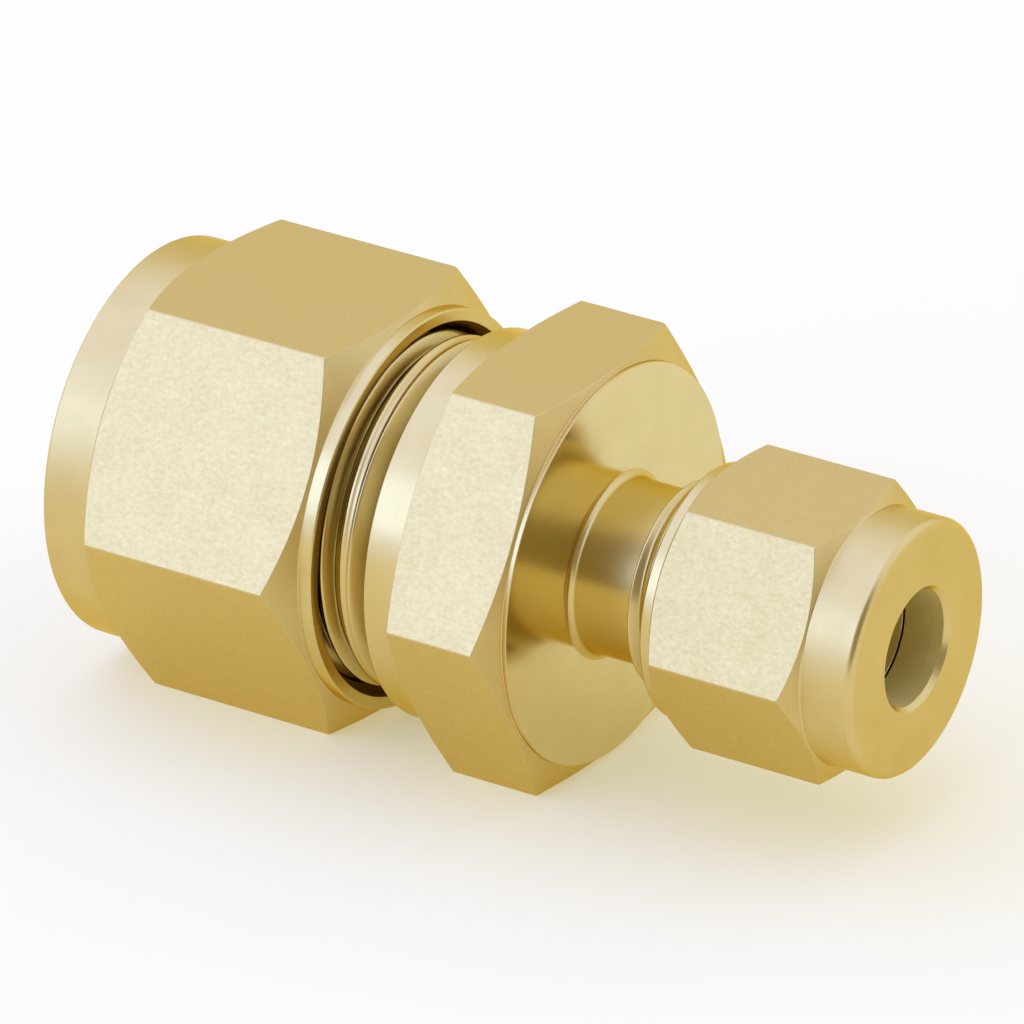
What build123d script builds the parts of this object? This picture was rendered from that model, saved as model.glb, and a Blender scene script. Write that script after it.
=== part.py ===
from build123d import *
import os
from dataclasses import dataclass
from math import cos, radians, tan

# Reducing union for metric tube: a 12 mm and a 6 mm two-ferrule compression end on one hexagon body.
# X runs along the tubes, from the large end to the small end, and Z is up. The origin is on the tube
# axis, half way along the finger-tight fitting, which lies on flats of the body and of the large nut.

# Hexagons
body_hex_af = 22.0
body_hex_length = 6.7
body_hex_chamfer_angle = 20.0
body_face_diameter = 21.6
body_face_height = 0.28
large_nut_af = body_hex_af
small_nut_af = 14.0
nut_chamfer_angle = 30.0
small_nut_turn = 2.8

# Large end of the body, from the hexagon outward
large_shoulder_diameter = 21.0
large_shoulder_length = 2.15
large_relief_length = 0.7
large_thread_diameter = 19.05
large_thread_length = 10.2
large_thread_chamfer = 0.8

# Small end of the body, from the hexagon outward
small_neck_length = 3.2
small_thread_diameter = 11.11
small_thread_length = 8.9
small_thread_chamfer = 0.6

# Tube sockets and the flow bore
large_tube_diameter = 12.0
large_socket_depth = 14.1
large_mouth_depth = 3.5
large_bore_diameter = 9.5
large_bore_depth = 2.0
small_tube_diameter = 6.0
small_socket_depth = 9.45
small_mouth_depth = 2.4
small_bore_diameter = 4.8
drill_half_angle = 59.0
mouth_half_angle = 20.0

# Nuts
large_nut_length = 16.62
large_nut_land = 4.37
large_nut_collar_diameter = 21.7
large_nut_collar_length = 2.8
large_nut_rim_diameter = 21.6
large_nut_rim_length = 0.79
small_nut_length = 12.47
small_nut_land = 2.57
small_nut_collar_diameter = 13.8
small_nut_collar_length = 2.93
small_nut_rim_diameter = 13.7
small_nut_rim_length = 0.61
nut_mouth_flare = 0.5
nut_mouth_depth = 1.1
nut_hole_chamfer = 0.27
nut_drive_angle = 15.0

# Ferrules
large_ferrule_wall = 1.65
large_ferrule_nose = 0.35
large_ferrule_rim = 0.9
large_recess_depth = 0.85
large_flange_thickness = 1.3
small_ferrule_wall = 1.15
small_ferrule_nose = 0.25
small_ferrule_rim = 0.7
small_recess_depth = 0.6
small_flange_thickness = 0.9
back_nose_wall = 0.2
flange_step = 0.1

# Thread, clearances and edges
thread_pitch = 1.27
thread_relief_depth = 0.84
make_up_turns = 1.25
make_up_room = 0.3
tube_clearance = 0.1
thread_clearance = 0.1
seat_clearance = 0.1
cup_clearance = 0.2
flange_gap = 0.3
collar_edge = 0.3
rim_edge = 0.12
neck_root_edge = 0.35


@dataclass
class TubeEnd:
    """One tube end. Distances run outward along the axis from the middle of the body's hexagon."""
    name: str
    side: int
    tube_diameter: float
    thread_diameter: float
    mouth: float
    mouth_depth: float
    nut_af: float
    nut_turn: float
    nut_length: float
    nut_land: float
    collar_diameter: float
    collar_length: float
    rim_diameter: float
    rim_length: float
    ferrule_wall: float
    ferrule_nose: float
    ferrule_rim: float
    recess_depth: float
    flange_thickness: float

    def __post_init__(self):
        taper = tan(radians(mouth_half_angle))
        drive = tan(radians(nut_drive_angle))
        # Radii shared by the socket, the ferrules and the nut
        self.hole = self.tube_diameter / 2 + tube_clearance
        self.mouth_radius = self.hole + self.mouth_depth * taper
        self.nose_radius = self.hole + self.ferrule_nose
        self.ferrule_radius = self.hole + self.ferrule_wall
        self.flange_radius = self.ferrule_radius - flange_step
        self.cup_radius = self.ferrule_radius + cup_clearance
        # Front ferrule, its cone parallel to the body's mouth
        cone_radius = self.mouth_radius - seat_clearance / cos(radians(mouth_half_angle))
        self.nose_tip = self.mouth - (cone_radius - self.nose_radius) / taper
        self.cone_end = self.nose_tip + (self.ferrule_radius - self.nose_radius) / taper
        self.front_rear = self.cone_end + self.ferrule_rim
        # Back ferrule, its 45 degree nose parallel to the front ferrule's recess
        self.recess_end = self.front_rear - self.recess_depth
        self.back_tip = self.recess_end + back_nose_wall + seat_clearance / cos(radians(45))
        self.flange_front = self.front_rear + flange_gap
        self.flange_rear = self.flange_front + self.flange_thickness
        self.back_rear = self.flange_rear + (self.flange_radius - self.hole) * drive
        # Nut, its drive shoulder parallel to the back ferrule's rear face
        self.shoulder = self.back_rear + seat_clearance / cos(radians(nut_drive_angle))
        self.cup_end = self.shoulder - (self.cup_radius - self.hole) * drive
        self.nut_end = self.shoulder + self.nut_land
        self.nut_front = self.nut_end - self.nut_length
        self.thread_end = self.mouth + thread_pitch * make_up_turns + make_up_room

    def place(self, *stations):
        """Points in the XZ plane from pairs of distance along this end and radius."""
        return [(middle + self.side * distance, radius) for distance, radius in stations]


def section(points):
    """Half a lathe section on the XZ plane, to be revolved about X."""
    with BuildSketch(Plane.XZ) as half_section:
        with BuildLine():
            Polyline(*points, close=True)
        make_face()
    return half_section.sketch


def past_corner(af):
    """Radius as far outside a hexagon's corners as they stand out from its flats."""
    flat = af / 2
    corner = flat / cos(radians(30))
    return 2 * corner - flat


def make_body():
    """Hexagon body with two threaded ends, tube sockets and the flow bore."""
    half = body_hex_length / 2
    overhang = past_corner(body_hex_af)
    face_radius = body_face_diameter / 2
    shoulder = large_shoulder_diameter / 2
    large_crest = large.thread_diameter / 2
    small_crest = small.thread_diameter / 2
    relief = large_crest - thread_relief_depth
    neck = small_crest - thread_relief_depth
    shoulder_end = half + large_shoulder_length
    relief_end = shoulder_end + large_relief_length
    neck_end = half + small_neck_length
    cone_height = (overhang - face_radius) * tan(radians(body_hex_chamfer_angle))
    face_start = half - body_face_height
    large_stop = large.mouth - large_socket_depth
    small_stop = small.mouth - small_socket_depth
    large_bore = large_bore_diameter / 2
    small_bore = small_bore_diameter / 2
    bore_end = large_stop - large_bore_depth
    drill_end = bore_end - (large_bore - small_bore) / tan(radians(drill_half_angle))

    with BuildPart() as body:
        with BuildSketch(Plane.YZ.offset(middle - half)):
            RegularPolygon(body_hex_af / 2, 6, major_radius=False)
        extrude(amount=body_hex_length)

        # Chamfer cones that turn the hexagon's corners away, and the raised round face on the small side
        cones = section(small.place(
            (-half, 0),
            (-half, face_radius),
            (cone_height - half, overhang),
            (face_start - cone_height, overhang),
            (face_start, face_radius),
            (half, face_radius),
            (half, 0),
        ))
        revolve(cones, axis=Axis.X, mode=Mode.INTERSECT)

        # Shoulder, relief and threaded spigot of the large end
        spigot = section(large.place(
            (0, 0),
            (0, shoulder),
            (shoulder_end, shoulder),
            (shoulder_end, relief),
            (relief_end, relief),
            (relief_end + thread_relief_depth, large_crest),
            (large.mouth - large_thread_chamfer, large_crest),
            (large.mouth, large_crest - large_thread_chamfer),
            (large.mouth, 0),
        ))
        revolve(spigot, axis=Axis.X)

        # Neck and threaded spigot of the small end, wider at the root of the neck
        spigot = section(small.place(
            (0, 0),
            (0, neck + neck_root_edge),
            (half, neck + neck_root_edge),
            (half + neck_root_edge, neck),
            (neck_end, neck),
            (neck_end + thread_relief_depth, small_crest),
            (small.mouth - small_thread_chamfer, small_crest),
            (small.mouth, small_crest - small_thread_chamfer),
            (small.mouth, 0),
        ))
        revolve(spigot, axis=Axis.X)

        # Socket of each end: the camming mouth, then the tube's seat down to its stop
        for end, stop in ((large, large_stop), (small, small_stop)):
            socket = section(end.place(
                (stop, 0),
                (stop, end.hole),
                (end.mouth - end.mouth_depth, end.hole),
                (end.mouth, end.mouth_radius),
                (end.mouth, 0),
            ))
            revolve(socket, axis=Axis.X, mode=Mode.SUBTRACT)

        # Flow bore, drilled wide from the large end and narrow from the small end
        bore = section(large.place(
            (large_stop, 0),
            (large_stop, large_bore),
            (bore_end, large_bore),
            (drill_end, small_bore),
            (-small_stop, small_bore),
            (-small_stop, 0),
        ))
        revolve(bore, axis=Axis.X, mode=Mode.SUBTRACT)
    return body.part


def make_nut(end):
    """Hexagon nut with a turned rim in front, a round collar behind and a cup for the ferrules."""
    overhang = past_corner(end.nut_af)
    chamfer_slope = tan(radians(nut_chamfer_angle))
    rim = end.rim_diameter / 2
    collar = end.collar_diameter / 2
    thread = end.thread_diameter / 2 + thread_clearance
    rim_end = end.nut_front + end.rim_length
    collar_start = end.nut_end - end.collar_length
    hex_start = rim_end + (overhang - rim) * chamfer_slope
    hex_end = collar_start - (overhang - collar) * chamfer_slope

    with BuildPart() as nut:
        with BuildSketch(Plane.YZ.offset(middle + end.side * end.nut_front)):
            RegularPolygon(end.nut_af / 2, 6, major_radius=False, rotation=end.nut_turn)
        extrude(amount=end.side * end.nut_length)
        outline = section(end.place(
            (end.nut_front, 0),
            (end.nut_front, rim - rim_edge),
            (end.nut_front + rim_edge, rim),
            (rim_end, rim),
            (hex_start, overhang),
            (hex_end, overhang),
            (collar_start, collar),
            (end.nut_end - collar_edge, collar),
            (end.nut_end, collar - collar_edge),
            (end.nut_end, 0),
        ))
        revolve(outline, axis=Axis.X, mode=Mode.INTERSECT)

        # Thread, ferrule cup, drive shoulder and tube hole
        inside = section(end.place(
            (end.nut_front, 0),
            (end.nut_front, thread + nut_mouth_flare),
            (end.nut_front + nut_mouth_depth, thread),
            (end.thread_end, thread),
            (end.thread_end, end.cup_radius),
            (end.cup_end, end.cup_radius),
            (end.shoulder, end.hole),
            (end.nut_end - nut_hole_chamfer, end.hole),
            (end.nut_end, end.hole + nut_hole_chamfer),
            (end.nut_end, 0),
        ))
        revolve(inside, axis=Axis.X, mode=Mode.SUBTRACT)
    return nut.part


def make_front_ferrule(end):
    """Conical ring that the back ferrule drives into the body's mouth."""
    with BuildPart() as ferrule:
        ring = section(end.place(
            (end.nose_tip, end.hole),
            (end.nose_tip, end.nose_radius),
            (end.cone_end, end.ferrule_radius),
            (end.front_rear, end.ferrule_radius),
            (end.front_rear, end.hole + end.recess_depth),
            (end.recess_end, end.hole),
        ))
        revolve(ring, axis=Axis.X)
    return ferrule.part


def make_back_ferrule(end):
    """Flanged ring with a short nose in the front ferrule's recess and a rear face for the nut's shoulder."""
    nose = end.hole + back_nose_wall
    with BuildPart() as ferrule:
        ring = section(end.place(
            (end.back_tip, end.hole),
            (end.back_tip, nose),
            (end.flange_front, nose + end.flange_front - end.back_tip),
            (end.flange_front, end.flange_radius),
            (end.flange_rear, end.flange_radius),
            (end.back_rear, end.hole),
        ))
        revolve(ring, axis=Axis.X)
    return ferrule.part


large = TubeEnd(
    name="large",
    side=-1,
    tube_diameter=large_tube_diameter,
    thread_diameter=large_thread_diameter,
    mouth=body_hex_length / 2 + large_shoulder_length + large_relief_length + large_thread_length,
    mouth_depth=large_mouth_depth,
    nut_af=large_nut_af,
    nut_turn=0.0,
    nut_length=large_nut_length,
    nut_land=large_nut_land,
    collar_diameter=large_nut_collar_diameter,
    collar_length=large_nut_collar_length,
    rim_diameter=large_nut_rim_diameter,
    rim_length=large_nut_rim_length,
    ferrule_wall=large_ferrule_wall,
    ferrule_nose=large_ferrule_nose,
    ferrule_rim=large_ferrule_rim,
    recess_depth=large_recess_depth,
    flange_thickness=large_flange_thickness,
)
small = TubeEnd(
    name="small",
    side=1,
    tube_diameter=small_tube_diameter,
    thread_diameter=small_thread_diameter,
    mouth=body_hex_length / 2 + small_neck_length + small_thread_length,
    mouth_depth=small_mouth_depth,
    nut_af=small_nut_af,
    nut_turn=small_nut_turn,
    nut_length=small_nut_length,
    nut_land=small_nut_land,
    collar_diameter=small_nut_collar_diameter,
    collar_length=small_nut_collar_length,
    rim_diameter=small_nut_rim_diameter,
    rim_length=small_nut_rim_length,
    ferrule_wall=small_ferrule_wall,
    ferrule_nose=small_ferrule_nose,
    ferrule_rim=small_ferrule_rim,
    recess_depth=small_recess_depth,
    flange_thickness=small_flange_thickness,
)

# X of the body hexagon's middle, with the origin half way along the fitting
middle = (large.nut_end - small.nut_end) / 2

pieces = {"body": make_body()}
for tube_end in (large, small):
    pieces[f"{tube_end.name}_nut"] = make_nut(tube_end)
    pieces[f"{tube_end.name}_front_ferrule"] = make_front_ferrule(tube_end)
    pieces[f"{tube_end.name}_back_ferrule"] = make_back_ferrule(tube_end)

os.makedirs("parts", exist_ok=True)
for name, piece in pieces.items():
    piece.label = name
    export_step(piece, f"parts/{name}.step")
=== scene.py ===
import math
from dataclasses import dataclass

import bpy
import numpy as np
from mathutils import Matrix, Vector


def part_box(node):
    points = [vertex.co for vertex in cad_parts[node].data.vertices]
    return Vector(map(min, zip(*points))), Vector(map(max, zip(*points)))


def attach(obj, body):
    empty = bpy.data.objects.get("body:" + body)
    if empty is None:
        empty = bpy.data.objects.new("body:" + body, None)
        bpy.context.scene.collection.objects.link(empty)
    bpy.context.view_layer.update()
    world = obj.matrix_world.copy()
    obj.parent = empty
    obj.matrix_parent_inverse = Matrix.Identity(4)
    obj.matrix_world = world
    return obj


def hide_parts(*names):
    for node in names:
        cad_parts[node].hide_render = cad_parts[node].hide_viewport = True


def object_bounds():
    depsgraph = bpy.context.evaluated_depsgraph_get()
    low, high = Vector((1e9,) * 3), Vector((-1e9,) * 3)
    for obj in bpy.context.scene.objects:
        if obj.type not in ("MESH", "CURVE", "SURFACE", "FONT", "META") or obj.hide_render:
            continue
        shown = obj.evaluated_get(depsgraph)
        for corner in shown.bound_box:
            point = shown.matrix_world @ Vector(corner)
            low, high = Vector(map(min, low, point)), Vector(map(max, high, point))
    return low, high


# Reducing union in brass: a hexagon body, two threaded nuts and two pairs of ferrules, each one closed
# surface of a turned profile. Sizes are in millimetres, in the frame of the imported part.
MM = 0.001

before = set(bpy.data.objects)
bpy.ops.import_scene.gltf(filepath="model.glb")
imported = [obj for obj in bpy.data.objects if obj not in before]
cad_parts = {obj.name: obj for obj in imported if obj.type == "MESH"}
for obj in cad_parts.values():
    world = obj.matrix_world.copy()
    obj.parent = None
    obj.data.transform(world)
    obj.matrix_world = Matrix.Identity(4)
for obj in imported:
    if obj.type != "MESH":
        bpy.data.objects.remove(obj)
cad_low, cad_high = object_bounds()


# Hexagons
hex_sides = 6
side_angle = 2 * math.pi / hex_sides
body_hex_af = 22.0
body_hex_length = 6.7
body_face_radius = 10.8
body_face_height = 0.28
body_chamfer = math.tan(math.radians(20.0))
nut_chamfer = math.tan(math.radians(30.0))
hex_corner_edge = 0.14
columns_per_flat = 24
columns_per_corner = 6

# Body, from the hexagon outward to each mouth
shoulder_radius = 10.5
shoulder_length = 2.15
relief_length = 0.7
large_thread_length = 10.2
large_thread_chamfer = 0.8
neck_length = 3.2
neck_root_edge = 0.4
small_thread_length = 8.9
small_thread_chamfer = 0.6

# Tube sockets and flow bore
large_socket_depth = 14.1
large_mouth_depth = 3.5
large_bore_radius = 4.75
large_bore_depth = 2.0
small_socket_depth = 9.45
small_mouth_depth = 2.4
small_bore_radius = 2.4
drill_slope = math.tan(math.radians(59.0))
mouth_slope = math.tan(math.radians(20.0))

# Threads, 60 degrees with flat crests and roots. The crest, the flank and the nut's gap are shares of
# the pitch.
thread_pitch = 1.27
thread_depth = 0.687
thread_relief_depth = 0.84
thread_clearance = 0.1
thread_rows_per_pitch = 20
runout_turns = 1.0
crest_half_width = 1 / 16
flank_width = 5 / 16
nut_flank_gap = 0.06

# Edges that a tool or a tumbler has rounded
fine_edge = 0.05
land_edge = 0.12
hex_edge = 0.05
rim_edge = 0.12
arc_points = 5

# Limits of an edge's arc: half of the sharpest angle, half of the straightest angle, in radians, and the
# share of the shorter side that it may take up
sharpest_half_angle = 0.01
straightest_half_angle = math.pi / 2 - 0.001
longest_contact = 0.45
tiny_length = 1e-9
tiny_area = 1e-20

# Nuts and ferrules
nut_mouth_flare = 0.5
nut_mouth_depth = 1.1
nut_hole_chamfer = 0.27
nut_drive_slope = math.tan(math.radians(15.0))
back_nose_wall = 0.2
flange_gap = 0.3
flange_step = 0.1
cup_clearance = 0.2

# Finishes, as places in each piece's list of materials
BAR, SATIN, SMOOTH, BRIGHT, DRILLED, NECK, THREAD, SHADED_NUT_THREAD = range(8)


def box_along_tube(node):
    """Lowest and highest X of a CAD node, in millimetres."""
    low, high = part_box(node)
    return low.x / MM, high.x / MM


large_mouth = body_hex_length / 2 + shoulder_length + relief_length + large_thread_length
small_mouth = body_hex_length / 2 + neck_length + small_thread_length
hex_middle = box_along_tube("body")[0] + large_mouth


@dataclass
class TubeEnd:
    """One tube end. Distances run outward along the tube from the middle of the body's hexagon.

    The hole, the thread's crest, the rim and the collar are radii, the nut's turn is in degrees and the
    thread's start in turns.
    """
    name: str
    side: int
    hole: float
    crest: float
    mouth: float
    mouth_depth: float
    nut_af: float
    nut_turn: float
    rim: float
    rim_length: float
    collar: float
    collar_length: float
    collar_edge: float
    ferrule_wall: float
    ferrule_nose: float
    ferrule_rim: float
    recess_depth: float
    flange_thickness: float
    thread_end: float
    thread_start: float
    runout: float

    def __post_init__(self):
        self.nut_front, self.nut_end = self.reach("nut")
        self.nose_tip, self.front_rear = self.reach("front_ferrule")
        self.back_tip, self.back_rear = self.reach("back_ferrule")
        self.mouth_radius = self.hole + self.mouth_depth * mouth_slope
        self.ferrule_radius = self.hole + self.ferrule_wall
        self.flange_radius = self.ferrule_radius - flange_step
        self.cup_radius = self.ferrule_radius + cup_clearance
        self.thread_major = self.crest + thread_clearance
        self.shoulder = self.back_rear + thread_clearance
        self.cup_end = self.shoulder - (self.cup_radius - self.hole) * nut_drive_slope

    def reach(self, piece):
        """Nearest and farthest distance of one of this end's nodes."""
        low, high = (self.side * (x - hex_middle) for x in box_along_tube(f"{self.name}_{piece}"))
        return min(low, high), max(low, high)


large = TubeEnd(
    name="large", side=-1, hole=6.1, crest=9.525, mouth=large_mouth, mouth_depth=large_mouth_depth,
    nut_af=22.0, nut_turn=0.0, rim=10.8, rim_length=0.79,
    collar=10.85, collar_length=2.8, collar_edge=0.22,
    ferrule_wall=1.65, ferrule_nose=0.35, ferrule_rim=0.9, recess_depth=0.85, flange_thickness=1.3,
    thread_end=18.29, thread_start=0.62, runout=0.84,
)
small = TubeEnd(
    name="small", side=1, hole=3.1, crest=5.555, mouth=small_mouth, mouth_depth=small_mouth_depth,
    nut_af=14.0, nut_turn=2.8, rim=6.85, rim_length=0.61,
    collar=6.9, collar_length=2.93, collar_edge=0.42,
    ferrule_wall=1.15, ferrule_nose=0.25, ferrule_rim=0.7, recess_depth=0.6, flange_thickness=0.9,
    thread_end=17.34, thread_start=0.89, runout=0.4,
)


def hexagon(af, turn):
    """Angles round a hexagon and its radius at each of them.

    A flat is apothem / cos(angle from its middle), sampled evenly along the flat. A corner is an arc of
    hex_corner_edge, whose polar radius is d cos(p) + sqrt(edge^2 - d^2 sin^2(p)) at angle p from the
    corner, with d the distance of the arc's centre from the axis.
    """
    apothem = af / 2
    tangent = (apothem - hex_corner_edge) * math.tan(side_angle / 2)
    flat = np.arctan(np.linspace(-tangent, tangent, columns_per_flat + 1) / apothem)
    corner = np.linspace(flat[-1], side_angle - flat[-1], columns_per_corner + 1)[1:-1]
    sector = np.concatenate([flat, corner])
    from_corner = side_angle / 2 - sector
    centre = (apothem - hex_corner_edge) / math.cos(side_angle / 2)
    in_arc = np.maximum(hex_corner_edge**2 - (centre * np.sin(from_corner))**2, 0)
    radius = np.where(np.abs(sector) <= flat[-1] + tiny_length,
                      apothem / np.cos(sector),
                      centre * np.cos(from_corner) + np.sqrt(in_arc))
    sides = np.arange(hex_sides)[:, None] * side_angle
    angles = (side_angle / 2 + math.radians(turn) + sector + sides).ravel()
    return angles, np.tile(radius, hex_sides)


def thread_groove(distance, angles, end, gap):
    """Share of the thread's depth at a distance along the tube and all angles about its outward axis.

    The phase is distance / pitch less one for each turn, which is right-handed. The groove is 0 on the
    crest, 1 on the root and straight on the flanks between them.
    """
    phase = distance / thread_pitch - angles / (2 * np.pi) + end.thread_start
    from_crest = np.abs((phase + 0.5) % 1 - 0.5)
    return np.clip((from_crest - crest_half_width - gap) / flank_width, 0, 1)


def thread_rows(start, stop):
    """Evenly spaced distances along a thread, thread_rows_per_pitch to a pitch."""
    count = int(abs(stop - start) / thread_pitch * thread_rows_per_pitch)
    return np.linspace(start, stop, count + 2)[1:-1]


def spigot_thread(end, start, stop, relief, relief_end, chamfer, angles):
    """Profile rows of a threaded spigot: the lower of its turned outline and the thread's helix.

    Beside the relief the thread runs out: its depth grows from nothing over runout_turns.
    """
    outline_at = [relief_end, relief_end + end.runout, end.mouth - chamfer, end.mouth]
    outline_radius = [relief, end.crest, end.crest, end.crest - chamfer]
    rows = []
    for distance in thread_rows(start, stop):
        outline = np.interp(distance, outline_at, outline_radius)
        depth = thread_depth * min(max(distance - outline_at[1], 0) / (runout_turns * thread_pitch), 1)
        helix = end.crest - depth * thread_groove(distance, end.side * angles, end, 0)
        rows.append((end.side * distance, np.minimum(outline, helix), 0, THREAD))
    return rows


def nut_thread(end, start, stop, angles):
    """Profile rows of a nut's thread: its ridges stand in the spigot's grooves, a clearance away."""
    major = end.thread_major
    flare_end = end.nut_front + nut_mouth_depth
    outline_at = [end.nut_front, flare_end, flare_end + thread_depth]
    outline_radius = [major + nut_mouth_flare, major, major - thread_depth]
    rows = []
    for distance in thread_rows(start, stop):
        outline = np.interp(distance, outline_at, outline_radius)
        ridge = (thread_depth - thread_clearance) * thread_groove(distance, angles, end, nut_flank_gap)
        # The nut's thread and mouth flare take the dark painted-shade brass
        rows.append((distance, np.maximum(outline, major - ridge), 0, SHADED_NUT_THREAD))
    return rows


def turned_profile(corners, columns):
    """Closed profile at every angle of a piece, with rounded corners, and the finish of each row.

    A corner has a place along the tube, a radius, an edge radius and the finish of what follows it. Its
    arc touches both neighbouring sides edge / tan(half angle) away, and is swept between the two contact
    points about the centre on their bisector. The arc itself is smooth, but satin at the edge of a bar
    flat. A corner without an edge radius stays one point.
    """
    along = np.stack([np.broadcast_to(corner[0], columns) for corner in corners], axis=1)
    radius = np.stack([np.broadcast_to(corner[1], columns) for corner in corners], axis=1)
    edge = np.array([corner[2] for corner in corners], float)
    finish = np.array([corner[3] for corner in corners])
    points = np.stack([along, radius], axis=2)
    back = np.roll(points, 1, axis=1) - points
    ahead = np.roll(points, -1, axis=1) - points
    back_length = np.linalg.norm(back, axis=2)
    ahead_length = np.linalg.norm(ahead, axis=2)
    back = back / back_length[:, :, None]
    ahead = ahead / ahead_length[:, :, None]
    half = 0.5 * np.arccos(np.clip((back * ahead).sum(axis=2), -1, 1))
    half = np.clip(half, sharpest_half_angle, straightest_half_angle)
    contact = np.minimum(edge / np.tan(half), longest_contact * np.minimum(back_length, ahead_length))
    arc_radius = contact * np.tan(half)
    bisector = back + ahead
    bisector = bisector / np.maximum(np.linalg.norm(bisector, axis=2), tiny_length)[:, :, None]
    centre = points + bisector * (arc_radius / np.sin(half))[:, :, None]
    first = points + back * contact[:, :, None] - centre
    last = points + ahead * contact[:, :, None] - centre
    sweep = (np.pi - 2 * half)[:, :, None, None]
    share = np.linspace(0, 1, arc_points)[None, None, :, None]
    arc = np.sin((1 - share) * sweep) * first[:, :, None] + np.sin(share * sweep) * last[:, :, None]
    arc = centre[:, :, None] + arc / np.sin(sweep)
    kept = np.ones((len(corners), arc_points), bool)
    kept[edge == 0, 1:] = False
    arc[:, edge == 0, 0] = points[:, edge == 0]
    profile = arc.reshape(columns, -1, 2)[:, kept.ravel()]
    row_finish = np.repeat(finish[:, None], arc_points, axis=1)
    at_flat = (finish == BAR) | (np.roll(finish, 1) == BAR)
    row_finish[edge > 0, :-1] = np.where(at_flat, SATIN, SMOOTH)[edge > 0, None]
    return profile, row_finish.ravel()[kept.ravel()]


def turned_piece(name, corners, angles, side, materials):
    """Mesh of a profile carried once round the tube: x along it, y = r cos(angle), z = r sin(angle).

    The large end is the same surface turned half round the Y axis. Vertex normals are the faces' normals
    weighted by area, so that flats and faces stay flat up to their rounded edges.
    """
    profile, finish = turned_profile(corners, len(angles))
    columns, rows = profile.shape[:2]
    along, radius = profile[:, :, 0], profile[:, :, 1]
    across = radius * np.cos(angles)[:, None]
    height = radius * np.sin(angles)[:, None]
    points = np.stack([hex_middle + side * along, across, side * height], axis=2).reshape(-1, 3) * MM
    index = np.arange(columns * rows).reshape(columns, rows)
    next_column = np.roll(index, -1, axis=0)
    next_row, opposite = np.roll(index, -1, axis=1), np.roll(next_column, -1, axis=1)
    quads = np.stack([index, next_column, opposite, next_row], axis=2).reshape(-1, 4)
    mesh = bpy.data.meshes.new(name)
    mesh.vertices.add(len(points))
    mesh.vertices.foreach_set("co", points.ravel())
    mesh.loops.add(quads.size)
    mesh.loops.foreach_set("vertex_index", quads.ravel())
    mesh.polygons.add(len(quads))
    mesh.polygons.foreach_set("loop_start", np.arange(len(quads)) * 4)
    mesh.polygons.foreach_set("material_index", np.tile(finish, columns))
    mesh.update()
    mesh.validate()
    diagonals = points[quads[:, 2:]] - points[quads[:, :2]]
    area_normal = np.cross(diagonals[:, 0], diagonals[:, 1])
    normals = np.zeros_like(points)
    np.add.at(normals, quads.ravel(), np.repeat(area_normal, 4, axis=0))
    normals /= np.maximum(np.linalg.norm(normals, axis=1), tiny_area)[:, None]
    mesh.polygons.foreach_set("use_smooth", np.ones(len(mesh.polygons), bool))
    mesh.normals_split_custom_set_from_vertices(normals)
    for material in materials:
        mesh.materials.append(material)
    piece = bpy.data.objects.new(name, mesh)
    bpy.context.scene.collection.objects.link(piece)
    return piece


def body_corners(angles, hex_radius):
    """Corners of the body's profile: outside from the large mouth to the small one, then back inside."""
    half = body_hex_length / 2
    relief = large.crest - thread_relief_depth
    neck = small.crest - thread_relief_depth
    shoulder_end = half + shoulder_length
    relief_end = shoulder_end + relief_length
    neck_end = half + neck_length + thread_relief_depth - small.runout
    chamfer_depth = (hex_radius - body_face_radius) * body_chamfer
    face_start = half - body_face_height
    large_stop = large.mouth - large_socket_depth
    small_stop = small.mouth - small_socket_depth
    bore_end = large_bore_depth - large_stop
    drill_end = bore_end + (large_bore_radius - small_bore_radius) / drill_slope
    return [
        (-large.mouth, large.mouth_radius, fine_edge, SATIN),
        (-large.mouth, large.crest - large_thread_chamfer, 0, THREAD),
        *spigot_thread(large, large.mouth, relief_end, relief, relief_end, large_thread_chamfer, angles),
        (-relief_end, relief, 0, BRIGHT),
        (-shoulder_end, relief, fine_edge, BRIGHT),
        (-shoulder_end, shoulder_radius, land_edge, SMOOTH),
        (-half, shoulder_radius, fine_edge, SMOOTH),
        (-half, body_face_radius, fine_edge, SATIN),
        (chamfer_depth - half, hex_radius, hex_edge, BAR),
        (face_start - chamfer_depth, hex_radius, hex_edge, SATIN),
        (face_start, body_face_radius, fine_edge, SMOOTH),
        (half, body_face_radius, fine_edge, BRIGHT),
        (half, neck, neck_root_edge, NECK),
        (neck_end, neck, 0, THREAD),
        *spigot_thread(small, neck_end, small.mouth, neck, neck_end, small_thread_chamfer, angles),
        (small.mouth, small.crest - small_thread_chamfer, 0, SATIN),
        (small.mouth, small.mouth_radius, fine_edge, SATIN),
        (small.mouth - small_mouth_depth, small.hole, fine_edge, DRILLED),
        (small_stop, small.hole, fine_edge, SATIN),
        (small_stop, small_bore_radius, fine_edge, DRILLED),
        (drill_end, small_bore_radius, fine_edge, DRILLED),
        (bore_end, large_bore_radius, fine_edge, DRILLED),
        (-large_stop, large_bore_radius, fine_edge, SATIN),
        (-large_stop, large.hole, fine_edge, DRILLED),
        (large_mouth_depth - large.mouth, large.hole, fine_edge, SATIN),
    ]


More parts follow.
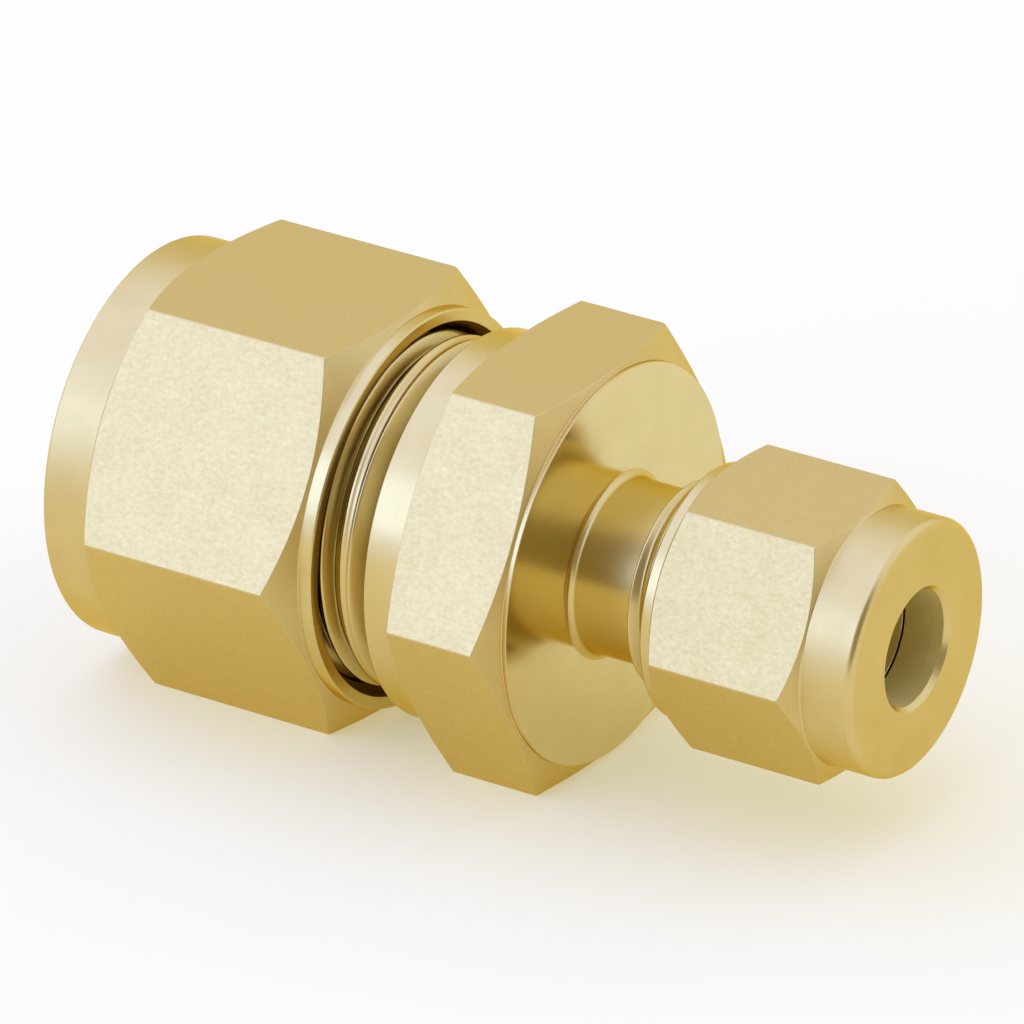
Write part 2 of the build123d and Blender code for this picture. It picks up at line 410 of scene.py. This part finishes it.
def nut_corners(end, angles, hex_radius):
    """Corners of a nut's profile: outside from the front rim to the collar, then back through the hole."""
    rim_end = end.nut_front + end.rim_length
    collar_start = end.nut_end - end.collar_length
    return [
        (end.nut_front, end.thread_major + nut_mouth_flare, fine_edge, SMOOTH),
        (end.nut_front, end.rim, rim_edge, SMOOTH),
        (rim_end, end.rim, fine_edge, SATIN),
        (rim_end + (hex_radius - end.rim) * nut_chamfer, hex_radius, hex_edge, BAR),
        (collar_start - (hex_radius - end.collar) * nut_chamfer, hex_radius, hex_edge, SATIN),
        (collar_start, end.collar, land_edge, SATIN),
        (end.nut_end, end.collar, end.collar_edge, SATIN),
        (end.nut_end, end.hole + nut_hole_chamfer, fine_edge, SMOOTH),
        (end.nut_end - nut_hole_chamfer, end.hole, fine_edge, DRILLED),
        (end.shoulder, end.hole, fine_edge, SATIN),
        (end.cup_end, end.cup_radius, fine_edge, SATIN),
        (end.thread_end, end.cup_radius, fine_edge, SATIN),
        (end.thread_end, end.thread_major, 0, SHADED_NUT_THREAD),
        *nut_thread(end, end.thread_end, end.nut_front, angles),
    ]


def front_ferrule_corners(end):
    """Corners of a front ferrule: its cone, its rim and the recess for the back ferrule's nose."""
    return [
        (end.nose_tip, end.hole, fine_edge, SATIN),
        (end.nose_tip, end.hole + end.ferrule_nose, fine_edge, SATIN),
        (end.front_rear - end.ferrule_rim, end.ferrule_radius, fine_edge, SATIN),
        (end.front_rear, end.ferrule_radius, land_edge, SATIN),
        (end.front_rear, end.hole + end.recess_depth, fine_edge, SATIN),
        (end.front_rear - end.recess_depth, end.hole, fine_edge, DRILLED),
    ]


def back_ferrule_corners(end):
    """Corners of a back ferrule: its nose, its flange and the rear face that the nut drives."""
    nose = end.hole + back_nose_wall
    flange_front = end.front_rear + flange_gap
    return [
        (end.back_tip, end.hole, fine_edge, SATIN),
        (end.back_tip, nose, fine_edge, SATIN),
        (flange_front, nose + flange_front - end.back_tip, fine_edge, SATIN),
        (flange_front, end.flange_radius, land_edge, SATIN),
        (flange_front + end.flange_thickness, end.flange_radius, land_edge, SATIN),
        (end.back_rear, end.hole, fine_edge, DRILLED),
    ]


# Brass, and paler and darker copies of it that paint light and shade, as linear colours, and the tint of
# brass at a glancing angle
brass_pale = (0.69, 0.535, 0.21, 1)
brass_deep = (0.64, 0.485, 0.175, 1)
# Paler brass for the polished faces: a painted highlight, standing in for the pale floor they mirror
bright_painted_highlight_pale = (0.75, 0.625, 0.28, 1)
bright_painted_highlight_deep = (0.7, 0.575, 0.245, 1)
# Paler brass for the drilled walls: painted light, lifting the shade inside the holes
drilled_painted_light_pale = (0.82, 0.71, 0.31, 1)
drilled_painted_light_deep = (0.76, 0.655, 0.27, 1)
# Deeper brass for the neck: painted shade, set for how the neck is lit
neck_painted_shade_pale = (0.69, 0.525, 0.175, 1)
neck_painted_shade_deep = (0.62, 0.46, 0.14, 1)
# Dark brass for the nut's thread and mouth flare: painted shade inside the nut. Its deep colour is also the
# painted shade at the spigots' thread roots
thread_shade_pale = (0.28, 0.195, 0.05, 1)
thread_shade_deep = (0.2, 0.135, 0.03, 1)
glancing_tint = (1.0, 0.8, 0.3, 1)
untinted = (1.0, 1.0, 1.0, 1)
# Share of painted shade at the deepest point of a thread's root
root_shade_share = 0.65

# Marks of the bar and of the lathe, the soft patches in their tone, and the part of that tone's range in use
bar_draw = (0.75, 1, 1)
bar_mark_roughness = 0.6
bar_patches_per_mm = 0.5
bar_patch_share = 0.2
ring_radius_weight = 1.37
ring_mark_roughness = 0.65
ring_patches_per_mm = 0.4
ring_patch_share = 0.7
mark_detail = 3
patch_detail = 4
tone_low = 0.3
tone_high = 0.7


def add_node(tree, kind, values=None, **settings):
    """A node of a shader tree with its settings, and with values for inputs given by name or number."""
    node = tree.nodes.new(kind)
    for key, value in settings.items():
        setattr(node, key, value)
    for socket, value in (values or {}).items():
        node.inputs[socket].default_value = value
    return node


def tube_place(tree):
    """Sockets of a point's place in the object, its place along the tube and its distance from the axis."""
    place = add_node(tree, "ShaderNodeTexCoord")
    parts = add_node(tree, "ShaderNodeSeparateXYZ")
    across = add_node(tree, "ShaderNodeCombineXYZ")
    radius = add_node(tree, "ShaderNodeVectorMath", operation="LENGTH")
    tree.links.new(place.outputs["Object"], parts.inputs["Vector"])
    tree.links.new(parts.outputs["Y"], across.inputs["Y"])
    tree.links.new(parts.outputs["Z"], across.inputs["Z"])
    tree.links.new(across.outputs["Vector"], radius.inputs[0])
    return place.outputs["Object"], parts.outputs["X"], radius.outputs["Value"]


def marks_group(name):
    """An empty node group that takes the number of marks per millimetre and gives a height and a tone."""
    group = bpy.data.node_groups.new(name, "ShaderNodeTree")
    for socket, way in (("Marks per mm", "INPUT"), ("Height", "OUTPUT"), ("Tone", "OUTPUT")):
        group.interface.new_socket(socket, in_out=way, socket_type="NodeSocketFloat")
    return group


def blend_marks(group, marks, place, patches_per_mm, patch_share):
    """Sets the scale of a group's noise of marks, its height, and its tone with soft patches blended in."""
    given = add_node(group, "NodeGroupInput")
    made = add_node(group, "NodeGroupOutput")
    per_metre = add_node(group, "ShaderNodeMath", {1: 1 / MM}, operation="MULTIPLY")
    patches = add_node(group, "ShaderNodeTexNoise", {"Scale": patches_per_mm / MM, "Detail": patch_detail})
    blend = add_node(group, "ShaderNodeMix", {"Factor": patch_share}, data_type="FLOAT")
    group.links.new(given.outputs["Marks per mm"], per_metre.inputs[0])
    group.links.new(per_metre.outputs["Value"], marks.inputs["Scale"])
    group.links.new(place, patches.inputs["Vector"])
    group.links.new(marks.outputs["Fac"], blend.inputs["A"])
    group.links.new(patches.outputs["Fac"], blend.inputs["B"])
    group.links.new(marks.outputs["Fac"], made.inputs["Height"])
    group.links.new(blend.outputs["Result"], made.inputs["Tone"])


def make_bar_grain():
    """Grain of drawn and blasted bar: noise drawn out a little along the bar."""
    group = marks_group("bar_grain")
    place = add_node(group, "ShaderNodeTexCoord").outputs["Object"]
    drawn = add_node(group, "ShaderNodeMapping", {"Scale": bar_draw})
    grain = add_node(group, "ShaderNodeTexNoise", {"Detail": mark_detail, "Roughness": bar_mark_roughness})
    group.links.new(place, drawn.inputs["Vector"])
    group.links.new(drawn.outputs["Vector"], grain.inputs["Vector"])
    blend_marks(group, grain, place, bar_patches_per_mm, bar_patch_share)
    return group


def make_lathe_rings():
    """Rings left by a lathe tool: noise along one line, the place along the tube plus the weighted radius."""
    group = marks_group("lathe_rings")
    place, along, radius = tube_place(group)
    line = add_node(group, "ShaderNodeMath", {1: ring_radius_weight}, operation="MULTIPLY_ADD")
    rings = add_node(group, "ShaderNodeTexNoise", noise_dimensions="1D",
                     values={"Detail": mark_detail, "Roughness": ring_mark_roughness})
    group.links.new(radius, line.inputs[0])
    group.links.new(along, line.inputs[2])
    group.links.new(line.outputs["Value"], rings.inputs["W"])
    blend_marks(group, rings, place, ring_patches_per_mm, ring_patch_share)
    return group


def brass_finish(name, marks, marks_per_mm, roughness, roughness_spread, bump, bump_depth,
                 pale=brass_pale, deep=brass_deep, glancing=glancing_tint):
    """Brass with the marks of one way of working it, which move its tone, its roughness and its surface. Some
    finishes take paler and darker copies of the brass as pale and deep, which paint light and shade.
    """
    material = bpy.data.materials.new(name)
    material.use_nodes = True
    tree = material.node_tree
    shader = tree.nodes["Principled BSDF"]
    shader.inputs["Metallic"].default_value = 1
    shader.inputs["Specular Tint"].default_value = glancing
    pattern = add_node(tree, "ShaderNodeGroup", {"Marks per mm": marks_per_mm}, node_tree=marks)
    tone = add_node(tree, "ShaderNodeMapRange", {"From Min": tone_low, "From Max": tone_high})
    colour = add_node(tree, "ShaderNodeMix", {"A": deep, "B": pale}, data_type="RGBA")
    rough = add_node(tree, "ShaderNodeMapRange", {
        "From Min": tone_low, "From Max": tone_high,
        "To Min": roughness + roughness_spread, "To Max": roughness - roughness_spread,
    })
    surface = add_node(tree, "ShaderNodeBump", {"Strength": bump, "Distance": bump_depth * MM})
    tree.links.new(pattern.outputs["Tone"], tone.inputs["Value"])
    tree.links.new(tone.outputs["Result"], colour.inputs["Factor"])
    tree.links.new(colour.outputs["Result"], shader.inputs["Base Color"])
    tree.links.new(pattern.outputs["Tone"], rough.inputs["Value"])
    tree.links.new(rough.outputs["Result"], shader.inputs["Roughness"])
    tree.links.new(pattern.outputs["Height"], surface.inputs["Height"])
    tree.links.new(surface.outputs["Normal"], shader.inputs["Normal"])
    return material


def shade_thread_roots(material):
    """Paints shade into a thread towards its roots, by how far a point lies under the crests of its end."""
    tree = material.node_tree
    shader = tree.nodes["Principled BSDF"]
    unshaded = shader.inputs["Base Color"].links[0].from_socket
    along, radius = tube_place(tree)[1:]
    at_small_end = add_node(tree, "ShaderNodeMath", {1: hex_middle * MM}, operation="GREATER_THAN")
    crests = {"A": large.crest * MM, "B": small.crest * MM}
    crest = add_node(tree, "ShaderNodeMix", crests, data_type="FLOAT")
    below = add_node(tree, "ShaderNodeMath", operation="SUBTRACT")
    share = add_node(tree, "ShaderNodeMapRange", {"From Max": thread_depth * MM, "To Max": root_shade_share})
    shaded_roots = add_node(tree, "ShaderNodeMix", {"B": thread_shade_deep}, data_type="RGBA")
    tree.links.new(along, at_small_end.inputs[0])
    tree.links.new(at_small_end.outputs["Value"], crest.inputs["Factor"])
    tree.links.new(crest.outputs["Result"], below.inputs[0])
    tree.links.new(radius, below.inputs[1])
    tree.links.new(below.outputs["Value"], share.inputs["Value"])
    tree.links.new(share.outputs["Result"], shaded_roots.inputs["Factor"])
    tree.links.new(unshaded, shaded_roots.inputs["A"])
    tree.links.new(shaded_roots.outputs["Result"], shader.inputs["Base Color"])
    return material


bar_grain = make_bar_grain()
lathe_rings = make_lathe_rings()
finishes = [
    brass_finish("bar_flats", bar_grain, marks_per_mm=5.0, roughness=0.42, roughness_spread=0.05,
                 bump=0.4, bump_depth=0.02),
    brass_finish("turned_satin", lathe_rings, marks_per_mm=6.0, roughness=0.4, roughness_spread=0.015,
                 bump=0.02, bump_depth=0.01),
    brass_finish("turned_smooth", lathe_rings, marks_per_mm=5.0, roughness=0.25, roughness_spread=0.015,
                 bump=0.02, bump_depth=0.005),
    # Polished faces take the paler painted-highlight brass
    brass_finish("turned_bright", lathe_rings, marks_per_mm=4.0, roughness=0.16, roughness_spread=0.02,
                 bump=0.02, bump_depth=0.005, pale=bright_painted_highlight_pale, deep=bright_painted_highlight_deep, glancing=untinted),
    # Drilled walls take the paler painted-light brass
    brass_finish("drilled", lathe_rings, marks_per_mm=5.0, roughness=0.9, roughness_spread=0.04,
                 bump=0.1, bump_depth=0.01, pale=drilled_painted_light_pale, deep=drilled_painted_light_deep, glancing=untinted),
    # The neck takes the deeper painted-shade brass
    brass_finish("neck", lathe_rings, marks_per_mm=5.0, roughness=0.25, roughness_spread=0.03,
                 bump=0.03, bump_depth=0.005, pale=neck_painted_shade_pale, deep=neck_painted_shade_deep),
    # Cut threads with painted shade toward their roots
    shade_thread_roots(brass_finish("cut_thread", lathe_rings, marks_per_mm=5.0, roughness=0.25,
                            roughness_spread=0.03, bump=0.03, bump_depth=0.005)),
    # Painted shade on the nut's thread and mouth flare
    brass_finish("painted_shade_nut_thread", lathe_rings, marks_per_mm=5.0, roughness=0.4, roughness_spread=0.05,
                 bump=0.05, bump_depth=0.01, pale=thread_shade_pale, deep=thread_shade_deep),
]


def make_pieces():
    """The body, the nuts and the ferrules, each in the place of its CAD node."""
    angles, hex_radius = hexagon(body_hex_af, 0.0)
    body = turned_piece("machined_body", body_corners(angles, hex_radius), angles, 1, finishes)
    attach(body, "body")
    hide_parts("body")
    for end in (large, small):
        angles, hex_radius = hexagon(end.nut_af, end.side * end.nut_turn)
        corners = nut_corners(end, angles, hex_radius)
        nut = turned_piece(f"machined_{end.name}_nut", corners, angles, end.side, finishes)
        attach(nut, f"{end.name}_nut")
        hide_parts(f"{end.name}_nut")
        ferrules = {"front": front_ferrule_corners(end), "back": back_ferrule_corners(end)}
        for place, corners in ferrules.items():
            name = f"turned_{end.name}_{place}_ferrule"
            ferrule = turned_piece(name, corners, angles, end.side, finishes)
            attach(ferrule, f"{end.name}_ferrules")
            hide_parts(f"{end.name}_{place}_ferrule")


make_pieces()


@dataclass
class RoomPatch:
    """A patch of the room in another colour, by the cosine of the angle from its middle.

    It starts to show at the outer cosine and is full from the inner one on.
    """
    azimuth: float
    elevation: float
    outer: float
    inner: float
    colour: tuple


# Floor, light and camera
floor_size = 3.0
floor_colour = (0.55, 0.53, 0.435, 1)
floor_glow = (0.43, 0.39, 0.22, 1)
floor_roughness = 0.9
room_colour = (0.82, 0.8, 0.73, 1)
room_patches = [
    RoomPatch(azimuth=-60.0, elevation=45.0, outer=0.3, inner=0.8, colour=(1.18, 1.36, 2.6, 1)),
    RoomPatch(azimuth=140.0, elevation=45.0, outer=0.5, inner=0.9, colour=(1.05, 1.12, 1.5, 1)),
    RoomPatch(azimuth=48.0, elevation=20.0, outer=0.72, inner=0.94, colour=(0.37, 0.34, 0.28, 1)),
]
key_colour = (0.22, 0.39, 1.0)
camera_azimuth = 31.98
camera_elevation = 27.17
camera_roll = -0.15
camera_distance = 571.4
camera_lens = 387.5
camera_sensor = 36
camera_clip_start = 0.05
camera_clip_end = 20
camera_aim = (-0.735, -0.61, 1.689)


def direction(azimuth, elevation):
    """Unit vector from the object to an azimuth, 0 in front and 90 at the small end, and a height."""
    a, e = math.radians(azimuth), math.radians(elevation)
    return Vector((math.sin(a) * math.cos(e), -math.cos(a) * math.cos(e), math.sin(e)))


def make_floor():
    """A pale floor under the lower flats, with a faint glow that is seen and mirrored but casts no light."""
    half = floor_size / 2
    height = cad_low.z
    mesh = bpy.data.meshes.new("floor")
    outline = ((-half, -half), (half, -half), (half, half), (-half, half))
    mesh.from_pydata([(x, y, height) for x, y in outline], [], [(0, 1, 2, 3)])
    material = bpy.data.materials.new("pale_floor")
    material.use_nodes = True
    tree = material.node_tree
    shader = tree.nodes["Principled BSDF"]
    shader.inputs["Base Color"].default_value = floor_colour
    shader.inputs["Roughness"].default_value = floor_roughness
    shader.inputs["Specular IOR Level"].default_value = 0
    shader.inputs["Emission Color"].default_value = floor_glow
    path = add_node(tree, "ShaderNodeLightPath")
    shown = path.outputs["Is Camera Ray"]
    for ray in ("Is Glossy Ray", "Is Transmission Ray"):
        either = add_node(tree, "ShaderNodeMath", operation="MAXIMUM")
        tree.links.new(shown, either.inputs[0])
        tree.links.new(path.outputs[ray], either.inputs[1])
        shown = either.outputs["Value"]
    tree.links.new(shown, shader.inputs["Emission Strength"])
    mesh.materials.append(material)
    floor = bpy.data.objects.new("floor", mesh)
    bpy.context.scene.collection.objects.link(floor)


def make_world():
    """A pale room with a bright tent over its left, a bright back and a dark side at the front right."""
    world = bpy.data.worlds.new("studio")
    world.use_nodes = True
    bpy.context.scene.world = world
    tree = world.node_tree
    place = add_node(tree, "ShaderNodeTexCoord")
    room = add_node(tree, "ShaderNodeRGB")
    room.outputs["Color"].default_value = room_colour
    painted = room.outputs["Color"]
    for patch in room_patches:
        middle = {1: direction(patch.azimuth, patch.elevation)}
        limits = {"From Min": patch.outer, "From Max": patch.inner}
        towards = add_node(tree, "ShaderNodeVectorMath", middle, operation="DOT_PRODUCT")
        share = add_node(tree, "ShaderNodeMapRange", limits, interpolation_type="SMOOTHSTEP")
        mixed = add_node(tree, "ShaderNodeMix", {"B": patch.colour}, data_type="RGBA")
        tree.links.new(place.outputs["Generated"], towards.inputs[0])
        tree.links.new(towards.outputs["Value"], share.inputs["Value"])
        tree.links.new(share.outputs["Result"], mixed.inputs["Factor"])
        tree.links.new(painted, mixed.inputs["A"])
        painted = mixed.outputs["Result"]
    tree.links.new(painted, tree.nodes["Background"].inputs["Color"])


def add_softbox(name, azimuth, elevation, distance, width, height, radiance, colour):
    """A rectangular light that faces the object, with its power worked out from the radiance it shows."""
    lamp = bpy.data.lights.new(name, "AREA")
    lamp.shape = "RECTANGLE"
    lamp.size = width
    lamp.size_y = height
    lamp.energy = radiance * math.pi * width * height
    lamp.color = colour
    holder = bpy.data.objects.new(name, lamp)
    towards = direction(azimuth, elevation)
    facing = towards.to_track_quat("Z", "Y").to_matrix().to_4x4()
    holder.matrix_world = Matrix.Translation(towards * distance) @ facing
    bpy.context.scene.collection.objects.link(holder)


def make_camera():
    """The photograph's viewpoint, a long lens half a metre away."""
    lens = bpy.data.cameras.new("camera")
    lens.lens = camera_lens
    lens.sensor_width = camera_sensor
    lens.clip_start = camera_clip_start
    lens.clip_end = camera_clip_end
    camera = bpy.data.objects.new("camera", lens)
    back = direction(camera_azimuth, camera_elevation)
    place = Vector(camera_aim) * MM + back * camera_distance * MM
    facing = (-back).to_track_quat("-Z", "Y").to_matrix().to_4x4()
    roll = Matrix.Rotation(math.radians(camera_roll), 4, "Z")
    camera.matrix_world = Matrix.Translation(place) @ facing @ roll
    bpy.context.scene.collection.objects.link(camera)
    bpy.context.scene.camera = camera


make_floor()
make_world()
add_softbox("key", azimuth=-32.0, elevation=25.0, distance=0.7, width=0.4, height=0.35,
            radiance=1.6, colour=key_colour)
make_camera()
bpy.context.scene.view_settings.view_transform = "Standard"
